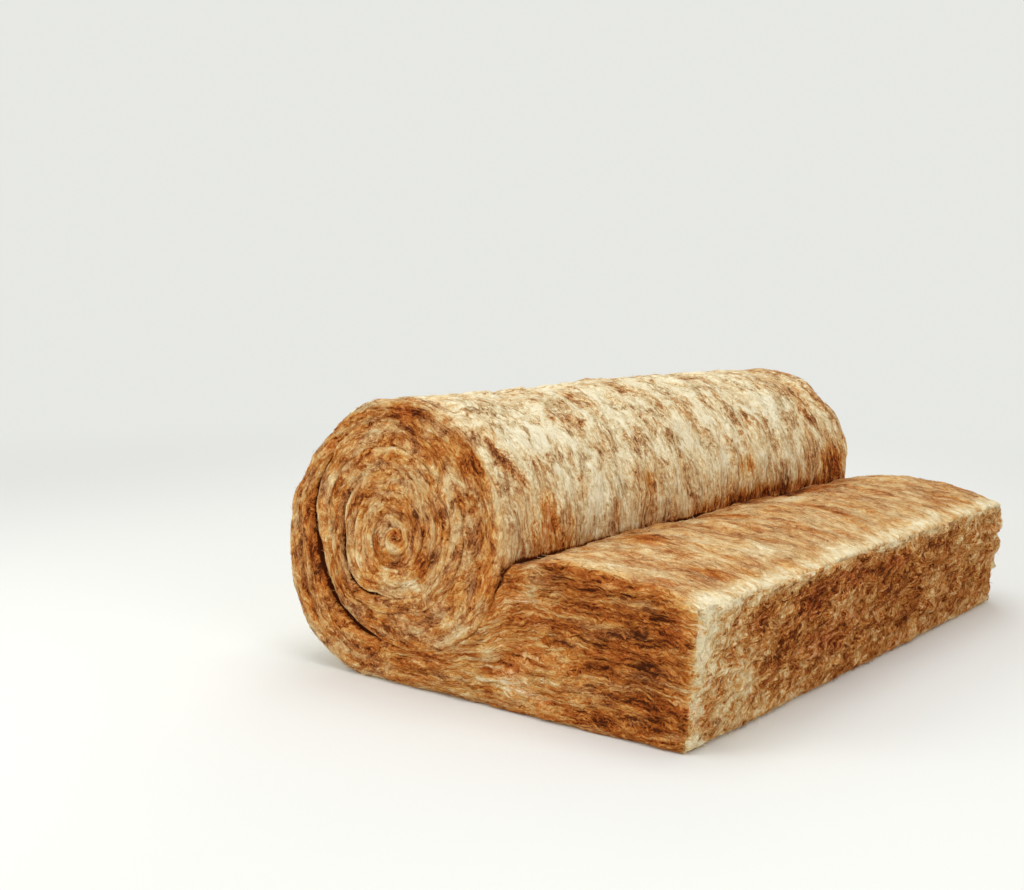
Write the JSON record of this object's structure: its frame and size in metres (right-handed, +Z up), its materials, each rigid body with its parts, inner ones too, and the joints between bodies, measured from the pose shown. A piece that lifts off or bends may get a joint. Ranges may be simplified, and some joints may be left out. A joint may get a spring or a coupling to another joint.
{
  "type": "insulation roll",
  "caption": "Wide glass wool blanket, tightly coiled on its side, with its last stretch unrolled flat at full thickness and cut square.",
  "frame": {"origin": "on the floor under the coil's axis, midway along its width", "axes": "+X points to the cut end, +Y lies along the coil's axis, +Z is up"},
  "size_m": [0.8001, 1.2, 0.458],
  "materials": {
    "glass_wool": "matte, fibrous, streaked cream and rust brown"
  },
  "bodies": {
    "root": {"wool_blanket": "glass_wool"}
  },
  "joints": []
}
